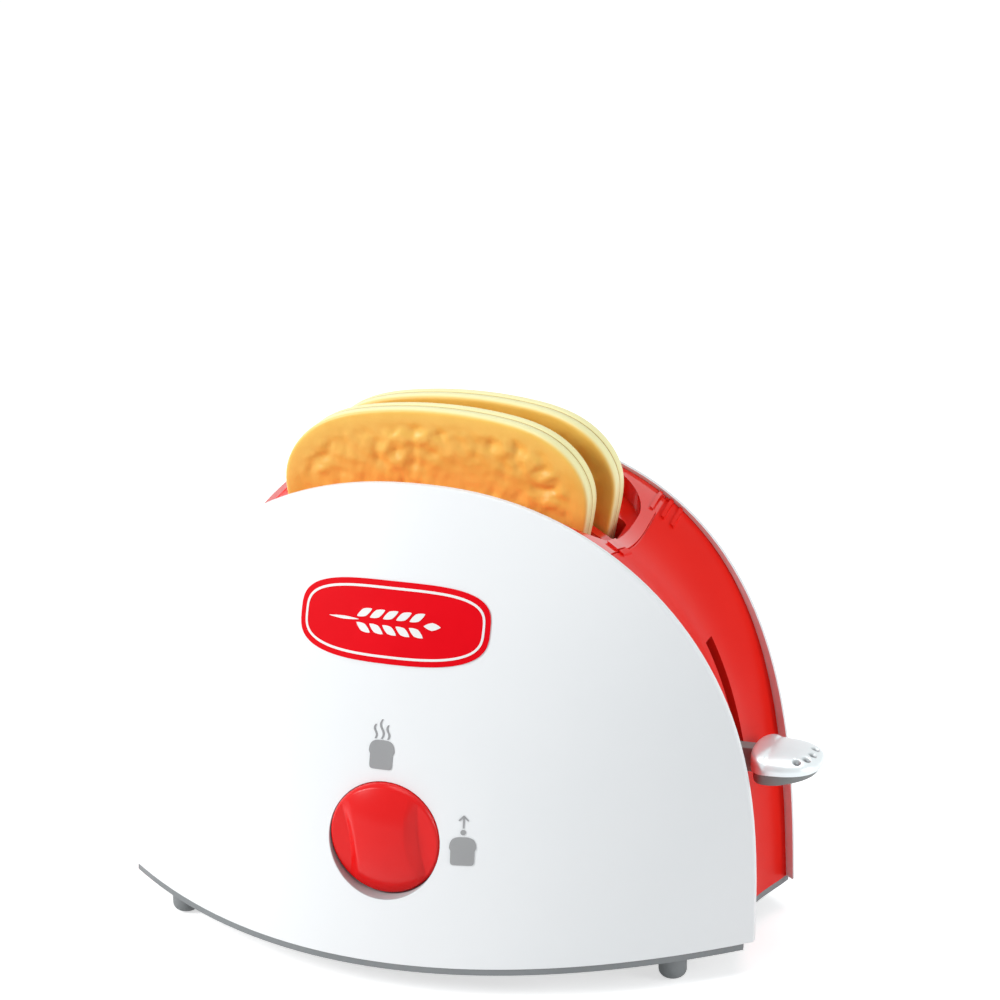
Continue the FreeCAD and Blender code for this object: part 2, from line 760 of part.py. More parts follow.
def make_dial():
    """A low dome with a scoop on each side, which leaves an hourglass grip between them."""
    drum = dial_rod(dial_radius, rim_plane, dial_back)
    ball_radius = (dial_radius ** 2 + dial_crown ** 2) / (2.0 * dial_crown)
    ball = Part.makeSphere(ball_radius, Vector(0, -rim_plane - dial_crown + ball_radius, dial_height))
    cap = ball.common(dial_rod(dial_radius, rim_plane + 2.0 * dial_crown, rim_plane))
    body = fuse([drum, cap])
    half = Vector(0, 0, 2.0 * dial_radius)
    for side in (-1, 1):
        centre = Vector(side * scoop_x, -rim_plane + scoop_sink - scoop_radius, dial_height)
        body = body.cut(rod(scoop_radius, centre - half, centre + half))
    under = dial_rod(dial_radius - 2.0, dial_back + 3.5, dial_back)
    under = under.cut(dial_rod(stem_radius + 1.8, dial_back + 3.5, dial_back))
    stem = dial_rod(stem_radius, rim_plane - 2.0, cam_front)
    body = fuse([body.cut(under), stem, stem_end()])
    return body.cut(dial_rod(screw_radius, cam_back + screw_bite, 0.0))


def make_release_cam():
    hub = dial_rod(hub_radius, cam_front, cam_back)
    finger = block(-finger_width / 2.0, finger_width / 2.0, -cam_front, -cam_back,
                   dial_height - finger_length, dial_height)
    return fuse([hub, finger]).cut(stem_end())


def make_cam_screw():
    tip = Vector(0, -cam_back - screw_bite, dial_height)
    return screw(tip, Vector(0, -1, 0), screw_bite, hub_radius - 1.4)


# ---------------------------------------------------------------- latch, bracket, pin and spring
latch_swing = 6.0             # degrees, for a quarter turn of the dial
latch_width = 5.0
arm_low = dial_height + hub_radius + 1.0
latch_arm_height = 4.0
foot_start = -15.0
foot_end = -10.0
foot_reach = latch_pivot_x - (foot_start + foot_end) / 2.0
foot_low = (dial_height + finger_width / 2.0 + 0.3
            - foot_reach * math.sin(math.radians(latch_swing)))
catch_down = slider_low - travel_down + catch_height
nose_low = catch_down + 0.3
nose_height = 3.4
nose_tip = rod_station - catch_width / 2.0 + 1.5
latch_right = latch_pivot_x + latch_width / 2.0
latch_left = latch_pivot_x - latch_width / 2.0
cheek_wall = 2.5
cheek_top = latch_pivot_z + 4.0
latch_spring_z = latch_pivot_z - 10.0
latch_spring_wire = 0.35
latch_spring_radius = 1.4
latch_spring_turns = 5.0
seat_x = latch_pivot_x - 11.0


def make_latch_hook():
    """Bell-crank latch: a long arm that the cam lifts and a hook that holds the carriage."""
    top = arm_low + latch_arm_height
    outline = [
        (foot_start, top), (latch_right, top), (latch_right, nose_low + nose_height + 2.5),
        (nose_tip, nose_low + 1.2), (nose_tip, nose_low), (latch_left, nose_low),
        (latch_left, arm_low), (foot_end, arm_low), (foot_end, foot_low),
        (foot_start, foot_low), (foot_start, top),
    ]
    front = latch_plane + latch_thickness / 2.0
    wire = Part.makePolygon([Vector(x, -front, z) for x, z in outline])
    hook = Part.Face(wire).extrude(Vector(0, latch_thickness, 0))
    hub = rod(4.2, Vector(latch_pivot_x, -front, latch_pivot_z),
              Vector(latch_pivot_x, -front + latch_thickness, latch_pivot_z))
    hole = rod(pin_radius + pin_gap, Vector(latch_pivot_x, -far, latch_pivot_z),
               Vector(latch_pivot_x, 0, latch_pivot_z))
    return fuse([hook, hub]).cut(hole)


def make_latch_bracket():
    front = latch_plane + latch_thickness / 2.0 + latch_gap
    back = latch_plane - latch_thickness / 2.0 - latch_gap
    foot = block(seat_x - 2.5, latch_right + 0.5, -front - cheek_wall, -back + cheek_wall,
                 panel_bottom, panel_bottom + 2.5)
    cheek = block(latch_left - 1.5, latch_right + 0.5, -front - cheek_wall, -front,
                  panel_bottom, cheek_top)
    upper = [edge for edge in cheek.Edges
             if edge.CenterOfMass.z > cheek_top - 0.1
             and abs(edge.tangentAt(edge.FirstParameter).y) > 0.9]
    cheek = cheek.makeFillet(3.0, upper)
    other = cheek.translated(Vector(0, front - back + cheek_wall, 0))
    seat = block(seat_x - 2.5, seat_x, -latch_plane - 3.0, -latch_plane + 3.0,
                 panel_bottom, latch_spring_z + 4.0)
    bracket = fuse([foot, cheek, other, seat])
    return bracket.cut(rod(pin_radius, Vector(latch_pivot_x, -far, latch_pivot_z),
                           Vector(latch_pivot_x, 0, latch_pivot_z)))


def make_latch_pin():
    front = latch_plane + latch_thickness / 2.0 + latch_gap + cheek_wall
    back = latch_plane - latch_thickness / 2.0 - latch_gap - cheek_wall
    pin = rod(pin_radius, Vector(latch_pivot_x, -front, latch_pivot_z),
              Vector(latch_pivot_x, -back, latch_pivot_z))
    head = rod(pin_radius + 0.9, Vector(latch_pivot_x, -front - 1.0, latch_pivot_z),
               Vector(latch_pivot_x, -front, latch_pivot_z))
    return fuse([pin, head])


def make_latch_spring():
    return coil(latch_spring_wire, latch_spring_radius, latch_spring_turns,
                Vector(seat_x, -latch_plane, latch_spring_z), Vector(1, 0, 0), latch_left - seat_x)


# ---------------------------------------------------------------- the bread slices
crust_round = 2.4
lobe_half = slice_width / 2.0
waist_half = 0.915 * lobe_half
foot_half = 0.895 * lobe_half
brow_half = 0.92 * lobe_half
shoulder_half = 0.72 * lobe_half
lobe_level = 0.77             # height of the widest place, as a share of the slice
waist_level = 0.47
foot_corner = 9.0


def slice_outline(y, inset):
    """The outline of a slice of tin loaf in the plane at y, drawn in by inset."""
    scale = 1.0 - inset / lobe_half
    middle = slice_bottom + slice_height / 2.0

    def place(x, share):
        return Vector(x * scale, y, middle + (share - 0.5) * slice_height * scale)

    corner = foot_corner / slice_height
    side = [
        (foot_half, corner), (waist_half, waist_level), (lobe_half - 1.1, 0.64),
        (lobe_half, lobe_level), (brow_half, 0.86), (shoulder_half, 0.942),
        (0.4 * lobe_half, 0.986), (0.0, 1.0),
    ]
    points = [place(x, share) for x, share in side]
    points += [place(-x, share) for x, share in reversed(side[:-1])]
    crown = Part.BSplineCurve()
    crown.interpolate(Points=points, InitialTangent=Vector(0, 0, 1), FinalTangent=Vector(0, 0, -1))
    straight = foot_half - foot_corner
    reach = straight + foot_corner * math.sin(math.pi / 4.0)
    level = corner * (1.0 - math.sin(math.pi / 4.0))
    return Part.Wire([
        crown.toShape(),
        Part.Arc(place(-foot_half, corner), place(-reach, level), place(-straight, 0.0)).toShape(),
        Part.makeLine(place(-straight, 0.0), place(straight, 0.0)),
        Part.Arc(place(straight, 0.0), place(reach, level), place(foot_half, corner)).toShape(),
    ])


def slice_half():
    """The front half of a hollow slice, open towards its partner behind the middle plane."""
    depth = slice_thickness / 2.0
    body = Part.Face(slice_outline(-depth, 0.0)).extrude(Vector(0, depth, 0))
    rim = [edge for edge in body.Edges if edge.CenterOfMass.y < 0.1 - depth]
    body = body.makeFillet(crust_round, rim)
    hollow = Part.Face(slice_outline(slice_wall - depth, slice_wall))
    return body.cut(hollow.extrude(Vector(0, depth, 0)))


# ---------------------------------------------------------------- write every piece
save("front_panel", front_panel)
save("back_panel", back_panel)
save("top_cover", make_top_cover())
plain_end = make_end_shell()
save("right_end_shell", add_lever_slot(plain_end))
save("left_end_shell", mirror_x(plain_end))
save("base_plate", make_base_plate())
save("feet", Part.makeCompound([make_foot(x, y) for x, y in foot_places]))
save("base_screws", make_base_screws())
save("bread_well", make_bread_well())
save("rod_bracket", make_rod_bracket())
save("guide_rods", make_guide_rods())
save("lift_springs", make_lift_springs())
save("dial_liner", make_dial_liner())
save("latch_bracket", make_latch_bracket())
save("latch_pin", make_latch_pin())
save("latch_spring", make_latch_spring())
save("latch_hook", make_latch_hook())
save("dial_knob", make_dial())
save("release_cam", make_release_cam())
save("cam_screw", make_cam_screw())
save("carriage", make_carriage())
save("lever_arm", make_lever_arm())
save("lever_cap", make_lever_cap())
save("lever_screws", make_lever_screws())

near_half = slice_half()
far_half = mirror_y(near_half)
for name, side in (("front_slice", -1.0), ("back_slice", 1.0)):
    place = Vector(side * slice_shift, side * slice_pitch / 2.0, 0)
    save(name + "_near_half", near_half.translated(place))
    save(name + "_far_half", far_half.translated(place))
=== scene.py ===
import math

import bpy
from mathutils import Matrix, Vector, noise


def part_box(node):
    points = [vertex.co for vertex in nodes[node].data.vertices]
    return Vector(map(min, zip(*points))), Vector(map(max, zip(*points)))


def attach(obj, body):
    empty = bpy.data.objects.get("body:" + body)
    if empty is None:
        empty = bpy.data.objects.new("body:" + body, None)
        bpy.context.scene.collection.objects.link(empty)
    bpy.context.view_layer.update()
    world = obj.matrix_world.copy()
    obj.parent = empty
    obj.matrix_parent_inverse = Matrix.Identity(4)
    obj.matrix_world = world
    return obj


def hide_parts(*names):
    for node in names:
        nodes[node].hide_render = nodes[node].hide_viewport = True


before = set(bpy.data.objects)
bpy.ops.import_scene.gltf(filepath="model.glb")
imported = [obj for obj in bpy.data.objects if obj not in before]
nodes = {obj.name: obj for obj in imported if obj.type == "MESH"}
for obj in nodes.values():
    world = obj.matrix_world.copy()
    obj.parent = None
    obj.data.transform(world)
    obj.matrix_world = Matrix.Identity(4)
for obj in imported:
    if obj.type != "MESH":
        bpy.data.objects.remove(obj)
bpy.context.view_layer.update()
mm = 0.001


# Moulded skin: what every plastic part of the toy has in common. The mould's polish leaves a
# faint cloudiness in the colour, patches of softer gloss, and a fine orange-peel surface.
cloud_detail, peel_detail = 4.0, 2.0
cloud_low, cloud_high = 0.35, 0.65        # the noise between these gives the whole range of tint
shine_depth = 2.0 * mm                    # how far light travels under the skin


def make_moulded_skin():
    group = bpy.data.node_groups.new("moulded skin", "ShaderNodeTree")
    made = group.interface
    for name, kind in (("Colour", "NodeSocketColor"), ("Deep Colour", "NodeSocketColor"),
                       ("Cloud Size", "NodeSocketFloat"), ("Gloss Low", "NodeSocketFloat"),
                       ("Gloss High", "NodeSocketFloat"), ("Peel Size", "NodeSocketFloat"),
                       ("Peel Depth", "NodeSocketFloat")):
        made.new_socket(name=name, in_out="INPUT", socket_type=kind)
    for name, kind in (("Colour", "NodeSocketColor"), ("Roughness", "NodeSocketFloat"),
                       ("Normal", "NodeSocketVector")):
        made.new_socket(name=name, in_out="OUTPUT", socket_type=kind)
    add, link = group.nodes.new, group.links.new
    given, out = add("NodeGroupInput"), add("NodeGroupOutput")
    place = add("ShaderNodeTexCoord")

    def patches(size_socket, detail):
        node = add("ShaderNodeTexNoise")
        node.inputs["Detail"].default_value = detail
        link(place.outputs["Object"], node.inputs["Vector"])
        link(size_socket, node.inputs["Scale"])
        return node

    cloud = patches(given.outputs["Cloud Size"], cloud_detail)
    spread = add("ShaderNodeMapRange")
    spread.inputs["From Min"].default_value = cloud_low
    spread.inputs["From Max"].default_value = cloud_high
    link(cloud.outputs["Fac"], spread.inputs["Value"])
    tint = add("ShaderNodeMix")
    tint.data_type = "RGBA"
    link(spread.outputs["Result"], tint.inputs["Factor"])
    link(given.outputs["Deep Colour"], tint.inputs["A"])
    link(given.outputs["Colour"], tint.inputs["B"])
    link(tint.outputs["Result"], out.inputs["Colour"])
    gloss = add("ShaderNodeMapRange")
    link(cloud.outputs["Fac"], gloss.inputs["Value"])
    link(given.outputs["Gloss Low"], gloss.inputs["To Min"])
    link(given.outputs["Gloss High"], gloss.inputs["To Max"])
    link(gloss.outputs["Result"], out.inputs["Roughness"])
    peel = patches(given.outputs["Peel Size"], peel_detail)
    bump = add("ShaderNodeBump")
    link(given.outputs["Peel Depth"], bump.inputs["Distance"])
    link(peel.outputs["Fac"], bump.inputs["Height"])
    link(bump.outputs["Normal"], out.inputs["Normal"])
    return group


moulded_skin = make_moulded_skin()


def moulded(name, colour, deep, gloss, cloud_size=35.0, peel_size=900.0, peel_depth=0.00001,
            specular=0.5, coat=0.0, shine_through=0.0):
    """A plastic surface: two near colours, a range of gloss, and the peel of the moulding."""
    material = bpy.data.materials.new(name)
    material.use_nodes = True
    tree = material.node_tree
    shader = tree.nodes["Principled BSDF"]
    skin = tree.nodes.new("ShaderNodeGroup")
    skin.node_tree = moulded_skin
    skin.inputs["Colour"].default_value = (*colour, 1.0)
    skin.inputs["Deep Colour"].default_value = (*deep, 1.0)
    skin.inputs["Cloud Size"].default_value = cloud_size
    skin.inputs["Gloss Low"].default_value = gloss[0]
    skin.inputs["Gloss High"].default_value = gloss[1]
    skin.inputs["Peel Size"].default_value = peel_size
    skin.inputs["Peel Depth"].default_value = peel_depth
    tree.links.new(skin.outputs["Colour"], shader.inputs["Base Color"])
    tree.links.new(skin.outputs["Roughness"], shader.inputs["Roughness"])
    tree.links.new(skin.outputs["Normal"], shader.inputs["Normal"])
    shader.inputs["Specular IOR Level"].default_value = specular
    shader.inputs["Coat Weight"].default_value = coat
    shader.inputs["Subsurface Weight"].default_value = shine_through
    shader.inputs["Subsurface Scale"].default_value = shine_depth
    return material


def finish_node(name, material):
    """Gives a solid from the frame its material."""
    mesh = nodes[name].data
    mesh.materials.clear()
    mesh.materials.append(material)


# The two white panels: bowed shells of polished white ABS, moulded in one piece each with
# their rounded rim. They clip and screw to the red saddle and the grey base between them. The
# back one, which carries no print, is left a little duller and painted a touch paler, a painted
# lift against the shade on its inner strip.
white_abs = moulded("white abs", (0.88, 0.885, 0.89), (0.86, 0.868, 0.875), (0.26, 0.38),
                    cloud_size=14.0, peel_size=420.0, peel_depth=0.000008, specular=0.35)
# A touch paler than the front panel's white: painted light against the shade on the back panel's
# inner strip.
dull_white_abs_painted_lighter = moulded("soft white abs", (0.89, 0.895, 0.90), (0.87, 0.878, 0.885), (0.42, 0.52),
                         cloud_size=14.0, peel_size=420.0, peel_depth=0.000008, specular=0.2)
finish_node("front_panel", white_abs)
finish_node("back_panel", dull_white_abs_painted_lighter)


# The printed marks by the dial: grey pad-printed pictograms, a slice under steam for toasting
# and a slice with a rising arrow for popping up. Each is ink a tenth of a millimetre thick.
print_grey = moulded("print ink", (0.36, 0.36, 0.362), (0.33, 0.33, 0.335), (0.45, 0.6),
                     peel_size=1500.0, specular=0.2)
feet_low, feet_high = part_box("feet")
middle_x = (feet_low[0] + feet_high[0]) / 2.0     # the dial's axis, midway between the feet
print_front = -80.0 * mm          # flat marks are drawn here, in front of the belly
print_lift = 0.15 * mm
ink_thickness = 0.1 * mm
mark_turn = (math.radians(90.0), 0.0, 0.0)


def deselect_all():
    for obj in bpy.context.selected_objects:
        obj.select_set(False)


def set_place(obj):
    """Puts the object's place, turn and scale into its mesh."""
    deselect_all()
    obj.select_set(True)
    bpy.context.view_layer.objects.active = obj
    bpy.ops.object.transform_apply(location=True, rotation=True, scale=True)


def keep_in_place(obj, name, material, body):
    """Names, finishes and rides a finished piece, with its place in its mesh."""
    set_place(obj)
    obj.name = name
    obj.data.name = name
    obj.data.materials.clear()
    obj.data.materials.append(material)
    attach(obj, body)
    return obj


def press_on_panel(obj, lift):
    """Projects a flat mark straight back on to the bowed front panel."""
    set_place(obj)
    wrap = obj.modifiers.new("press on", "SHRINKWRAP")
    wrap.target = nodes["front_panel"]
    wrap.wrap_method = "PROJECT"
    wrap.use_project_y = True
    wrap.use_positive_direction = True
    wrap.use_negative_direction = False
    wrap.offset = lift
    bpy.ops.object.modifier_apply(modifier=wrap.name)
    wall = obj.modifiers.new("ink", "SOLIDIFY")
    wall.thickness = ink_thickness
    wall.offset = 0.0
    bpy.ops.object.modifier_apply(modifier=wall.name)


def round_corners(angle, power):
    """A point of the unit superellipse, which is squarer for a higher power."""
    across, up = math.cos(angle), math.sin(angle)
    return (math.copysign(abs(across) ** (2.0 / power), across),
            math.copysign(abs(up) ** (2.0 / power), up))


head_power, foot_power = 3.2, 9.0         # corners of a slice mark, rounder above
waist_level, waist_share = 0.16, 0.89


def slice_mark(x, z, width, height):
    """A filled slice of bread: square below, domed above, with a wider head."""
    deselect_all()
    bpy.ops.mesh.primitive_circle_add(vertices=72, radius=1.0, fill_type="NGON",
                                      location=(x, print_front, z), rotation=mark_turn)
    mark = bpy.context.object
    for vertex in mark.data.vertices:
        angle = math.atan2(vertex.co.y, vertex.co.x)
        across, up = round_corners(angle, head_power if vertex.co.y > 0.0 else foot_power)
        if up < waist_level:
            across *= waist_share
        vertex.co.x, vertex.co.y = across * width / 2.0, up * height / 2.0
    return mark


steam_swing, steam_taper = 0.10, 1.3


def steam_mark(x, z, height, width):
    """One curl of steam: a thin S-shaped band."""
    deselect_all()
    bpy.ops.mesh.primitive_grid_add(x_subdivisions=1, y_subdivisions=14, size=1.0,
                                    location=(x, print_front, z), rotation=mark_turn)
    curl = bpy.context.object
    for vertex in curl.data.vertices:
        share = vertex.co.y
        narrow = 1.0 - steam_taper * share * share
        swing = steam_swing * height * math.sin(2.0 * math.pi * share)
        vertex.co.x = vertex.co.x * width * narrow - swing
        vertex.co.y = share * height
    return curl


def bar_mark(x, z, turn, length, width):
    """A straight stroke of the arrow, with softened ends."""
    deselect_all()
    bpy.ops.mesh.primitive_plane_add(size=1.0, location=(x, print_front, z),
                                     rotation=(math.radians(90.0), math.radians(turn), 0.0))
    bar = bpy.context.object
    bar.scale = (width, length, 1.0)
    set_place(bar)
    bpy.ops.object.mode_set(mode="EDIT")
    bpy.ops.mesh.select_all(action="SELECT")
    bpy.ops.mesh.bevel(offset=0.3 * width, segments=3, affect="VERTICES")
    bpy.ops.object.mode_set(mode="OBJECT")
    return bar


def print_on_panel(marks, name):
    for number, mark in enumerate(marks):
        press_on_panel(mark, print_lift)
        keep_in_place(mark, "%s_%d" % (name, number), print_grey, "housing")


mark_height = 8.4 * mm
toast_mark_x, toast_mark_z = middle_x - 1.9 * mm, 72.2 * mm
toast_mark_width = 8.1 * mm
steam_width, steam_step, steam_shift = 0.62 * mm, 2.0 * mm, -0.3 * mm
steam_foot = toast_mark_z + 4.5 * mm
pieces = [slice_mark(toast_mark_x, toast_mark_z, toast_mark_width, mark_height)]
for step, height in ((-1, 4.1 * mm), (0, 5.6 * mm), (1, 4.1 * mm)):
    pieces.append(steam_mark(toast_mark_x + step * steam_step + steam_shift,
                             steam_foot + height / 2.0, height, steam_width))
print_on_panel(pieces, "toast_mark")

pop_mark_x, pop_mark_z = middle_x + 24.3 * mm, 46.0 * mm
pop_mark_width = 7.9 * mm
dot_radius, dot_z = 0.8 * mm, pop_mark_z + 5.6 * mm
stroke_width = 0.42 * mm
shaft_length, shaft_z = 3.6 * mm, pop_mark_z + 8.6 * mm
barb_length, barb_turn = 2.1 * mm, -46.0
barb_out, barb_z = 0.66 * mm, pop_mark_z + 9.75 * mm
pieces = [slice_mark(pop_mark_x, pop_mark_z, pop_mark_width, mark_height)]
deselect_all()
bpy.ops.mesh.primitive_circle_add(vertices=20, radius=dot_radius, fill_type="NGON",
                                  location=(pop_mark_x, print_front, dot_z), rotation=mark_turn)
pieces.append(bpy.context.object)
pieces.append(bar_mark(pop_mark_x, shaft_z, 0.0, shaft_length, stroke_width))
for side in (-1, 1):
    pieces.append(bar_mark(pop_mark_x + side * barb_out, barb_z, side * barb_turn, barb_length,
                           stroke_width))
print_on_panel(pieces, "pop_mark")


# The sticker high on the front panel: a glossy red vinyl oval with a pale line inside its
# edge and a small ear of wheat, die-cut and rubbed down on the curved face.
sticker_red = moulded("sticker vinyl", (0.80, 0.003, 0.010), (0.76, 0.002, 0.008), (0.4, 0.5),
                      cloud_size=60.0, specular=0.05)
sticker_pale = moulded("sticker print", (0.86, 0.85, 0.83), (0.83, 0.82, 0.80), (0.35, 0.45),
                       cloud_size=60.0, specular=0.3)
sticker_x, sticker_z = middle_x - 2.2 * mm, 109.4 * mm
sticker_length, sticker_height = 60.0 * mm, 23.0 * mm
sticker_power = 3.2
sticker_lift, over_print_lift = 0.2 * mm, 0.32 * mm
line_inset, line_width = 1.6 * mm, 0.7 * mm

deselect_all()
bpy.ops.mesh.primitive_grid_add(x_subdivisions=48, y_subdivisions=24, size=2.0, rotation=mark_turn,
                                location=(sticker_x, print_front, sticker_z))
sticker = bpy.context.object
for vertex in sticker.data.vertices:
    reach = max(abs(vertex.co.x), abs(vertex.co.y))
    across, up = round_corners(math.atan2(vertex.co.y, vertex.co.x), sticker_power)
    vertex.co.x = reach * across * sticker_length / 2.0
    vertex.co.y = reach * up * sticker_height / 2.0
press_on_panel(sticker, sticker_lift)
keep_in_place(sticker, "sticker", sticker_red, "housing")

deselect_all()
bpy.ops.mesh.primitive_circle_add(vertices=200, radius=1.0, fill_type="NGON", rotation=mark_turn,
                                  location=(sticker_x, print_front, sticker_z))
line = bpy.context.object
for vertex in line.data.vertices:
    across, up = round_corners(math.atan2(vertex.co.y, vertex.co.x), sticker_power)
    vertex.co.x = across * (sticker_length / 2.0 - line_inset)
    vertex.co.y = up * (sticker_height / 2.0 - line_inset)
bpy.ops.object.mode_set(mode="EDIT")
bpy.ops.mesh.select_all(action="SELECT")
bpy.ops.mesh.inset(thickness=line_width)
bpy.ops.mesh.delete(type="FACE")
bpy.ops.object.mode_set(mode="OBJECT")
press_on_panel(line, over_print_lift)
keep_in_place(line, "sticker_line", sticker_pale, "housing")


grain_point = 0.35                # less makes a blunter end


def grain_of_wheat(x, z, turn, length, width, name):
    """One grain or the stalk of the wheat ear: a pointed oval."""
    deselect_all()
    bpy.ops.mesh.primitive_circle_add(vertices=24, radius=0.5, fill_type="NGON",
                                      location=(x, print_front, z),
                                      rotation=(math.radians(90.0), math.radians(turn), 0.0))
    grain = bpy.context.object
    for vertex in grain.data.vertices:
        pointed = (1.0 - abs(2.0 * vertex.co.y)) ** grain_point
        vertex.co.x = vertex.co.x * width * pointed
        vertex.co.y *= length
    press_on_panel(grain, over_print_lift)
    keep_in_place(grain, name, sticker_pale, "housing")


grain_length, grain_width = 5.2 * mm, 2.2 * mm
grain_out, grain_lean = 2.1 * mm, 28.0
ear_pairs, ear_step = 5, 4.2 * mm
ear_start = sticker_x - 9.0 * mm
ear_tip = ear_start + ear_pairs * ear_step + 0.6 * mm
stalk_x, stalk_length, stalk_width = sticker_x - 15.5 * mm, 10.0 * mm, 0.9 * mm
lying = 90.0
for number in range(ear_pairs):
    for side, row in ((-1, "low"), (1, "high")):
        grain_of_wheat(ear_start + number * ear_step, sticker_z + side * grain_out,
                       lying - side * grain_lean, grain_length, grain_width,
                       "wheat_grain_%d_%s" % (number, row))
grain_of_wheat(ear_tip, sticker_z, lying, grain_length, grain_width, "wheat_tip")
grain_of_wheat(stalk_x, sticker_z, lying, stalk_length, stalk_width, "wheat_stalk")


# The grey base plate and its four stub feet: matte ABS, the base screwed up from below into
# bosses inside the shells, the feet pressed in on pegs. The fine texture hides table scratches.
grey_abs = moulded("grey abs", (0.235, 0.245, 0.25), (0.20, 0.21, 0.215), (0.5, 0.65),
                   peel_size=1600.0, peel_depth=0.00005)
finish_node("base_plate", grey_abs)
finish_node("feet", grey_abs)


# The red saddle between the panels: one top cover with the sunk field and the bread slots,
# and an end shell on each side, all glossy red ABS. The chutes that guide the bread are red too.
red_abs = moulded("red abs", (0.90, 0.020, 0.012), (0.86, 0.015, 0.009), (0.24, 0.34),
                  cloud_size=22.0, peel_size=500.0, peel_depth=0.000006, specular=0.07)
red_polish = moulded("polished red abs", (0.88, 0.025, 0.014), (0.84, 0.018, 0.010), (0.10, 0.17),
                     cloud_size=22.0, peel_size=300.0, peel_depth=0.000004, coat=0.5)
for name in ("right_end_shell", "left_end_shell", "bread_well"):
    finish_node(name, red_abs)
finish_node("top_cover", red_polish)


# The works inside: the grey brackets that hold the guide rods and the latch,
# and the light grey acetal carriage that slides on the rods, all as they leave the mould.
inner_grey = moulded("inner grey abs", (0.33, 0.34, 0.35), (0.29, 0.30, 0.31), (0.42, 0.58),
                     peel_size=1200.0, peel_depth=0.00003)
acetal = moulded("light acetal", (0.52, 0.53, 0.54), (0.47, 0.48, 0.49), (0.32, 0.45),
                 cloud_size=50.0, shine_through=0.1)
natural_acetal = moulded("natural acetal", (0.68, 0.66, 0.58), (0.62, 0.60, 0.52), (0.32, 0.45),
                         cloud_size=60.0, shine_through=0.1)
for name in ("rod_bracket", "latch_bracket"):
    finish_node(name, inner_grey)
finish_node("carriage", acetal)
for name in ("latch_hook", "release_cam"):
    finish_node(name, natural_acetal)


# The steel parts: drawn guide rods, coil springs, the latch pin and the small screws, all
# zinc plated, so they have a cool shine with fine drawing marks along them.
drawing_stretch = 0.06            # the marks run this much slower along the rods
drawing_scale, drawing_detail = 2600.0, 3.0
drawing_depth = 0.01 * mm


def make_zinc_steel():
    material = bpy.data.materials.new("zinc steel")
    material.use_nodes = True
    tree = material.node_tree
    shader = tree.nodes["Principled BSDF"]
    shader.inputs["Metallic"].default_value = 1.0
    place = tree.nodes.new("ShaderNodeTexCoord")
    along = tree.nodes.new("ShaderNodeMapping")
    along.inputs["Scale"].default_value = (1.0, 1.0, drawing_stretch)
    marks = tree.nodes.new("ShaderNodeTexNoise")
    marks.inputs["Scale"].default_value = drawing_scale
    marks.inputs["Detail"].default_value = drawing_detail
    tone = tree.nodes.new("ShaderNodeMix")
    tone.data_type = "RGBA"
    tone.inputs["A"].default_value = (0.52, 0.53, 0.55, 1.0)
    tone.inputs["B"].default_value = (0.66, 0.67, 0.69, 1.0)
    gloss = tree.nodes.new("ShaderNodeMapRange")
    gloss.inputs["To Min"].default_value = 0.24
    gloss.inputs["To Max"].default_value = 0.42
    bump = tree.nodes.new("ShaderNodeBump")
    bump.inputs["Distance"].default_value = drawing_depth
    link = tree.links.new
    link(place.outputs["Object"], along.inputs["Vector"])
    link(along.outputs["Vector"], marks.inputs["Vector"])
    link(marks.outputs["Fac"], tone.inputs["Factor"])
    link(marks.outputs["Fac"], gloss.inputs["Value"])
    link(marks.outputs["Fac"], bump.inputs["Height"])
    link(tone.outputs["Result"], shader.inputs["Base Color"])
    link(gloss.outputs["Result"], shader.inputs["Roughness"])
    link(bump.outputs["Normal"], shader.inputs["Normal"])
    return material


zinc_steel = make_zinc_steel()
for name in ("guide_rods", "lift_springs", "base_screws", "cam_screw", "lever_screws", "latch_pin",
             "latch_spring"):
    finish_node(name, zinc_steel)


# The lever: a grey ABS blade and tray that screw to the carriage through the end shell's slot,
# with a silver-coloured cap snapped over the tray for the thumb to press. Four small pits near
# the cap's front edge give grip; they are painted dark inside, a painted shade in the hollows.
stem_abs = moulded("stem abs", (0.27, 0.28, 0.275), (0.24, 0.25, 0.245), (0.4, 0.52),
                   peel_size=1300.0, peel_depth=0.00003, specular=0.35)
arm_low, arm_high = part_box("lever_arm")
cap_low, cap_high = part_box("lever_cap")
paddle_back = cap_low[0] - 2.7 * mm
paddle_tip = cap_high[0] - 0.9 * mm
paddle_half = 12.7 * mm
paddle_corner = 6.0 * mm          # depth of the rounded back edge
paddle_foot = cap_low[2] + 0.4 * mm
paddle_skirt = 1.0 * mm
paddle_rise = 4.3 * mm
paddle_turn = paddle_back + paddle_corner
front_power, back_power = 2.6, 2.3        # the outline's corners before and behind the turn


def paddle_plan(across, along, inset):
    """A point of the paddle's outline: squarish behind, drawn out to a blunt round in front."""
    angle = math.atan2(across, along)
    if along > 0.0:
        front, side = round_corners(angle, front_power)
        depth = paddle_tip - paddle_turn
    else:
        front, side = round_corners(angle, back_power)
        depth = paddle_corner
    return paddle_turn + front * (depth - inset), side * (paddle_half - inset)


def smooth_finish(obj, angle):
    deselect_all()
    obj.select_set(True)
    bpy.context.view_layer.objects.active = obj
    bpy.ops.object.shade_smooth_by_angle(angle=math.radians(angle))


def rounded_bar(low, high, edge):
    """A bar between two corners, with its edges rounded."""
    deselect_all()
    bpy.ops.mesh.primitive_cube_add(size=1.0, location=[(a + b) / 2.0 for a, b in zip(low, high)])
    bar = bpy.context.object
    bar.scale = [b - a for a, b in zip(low, high)]
    set_place(bar)
    bpy.ops.object.mode_set(mode="EDIT")
    bpy.ops.mesh.select_all(action="SELECT")
    bpy.ops.mesh.bevel(offset=edge, segments=3, affect="EDGES")
    bpy.ops.object.mode_set(mode="OBJECT")
    return bar


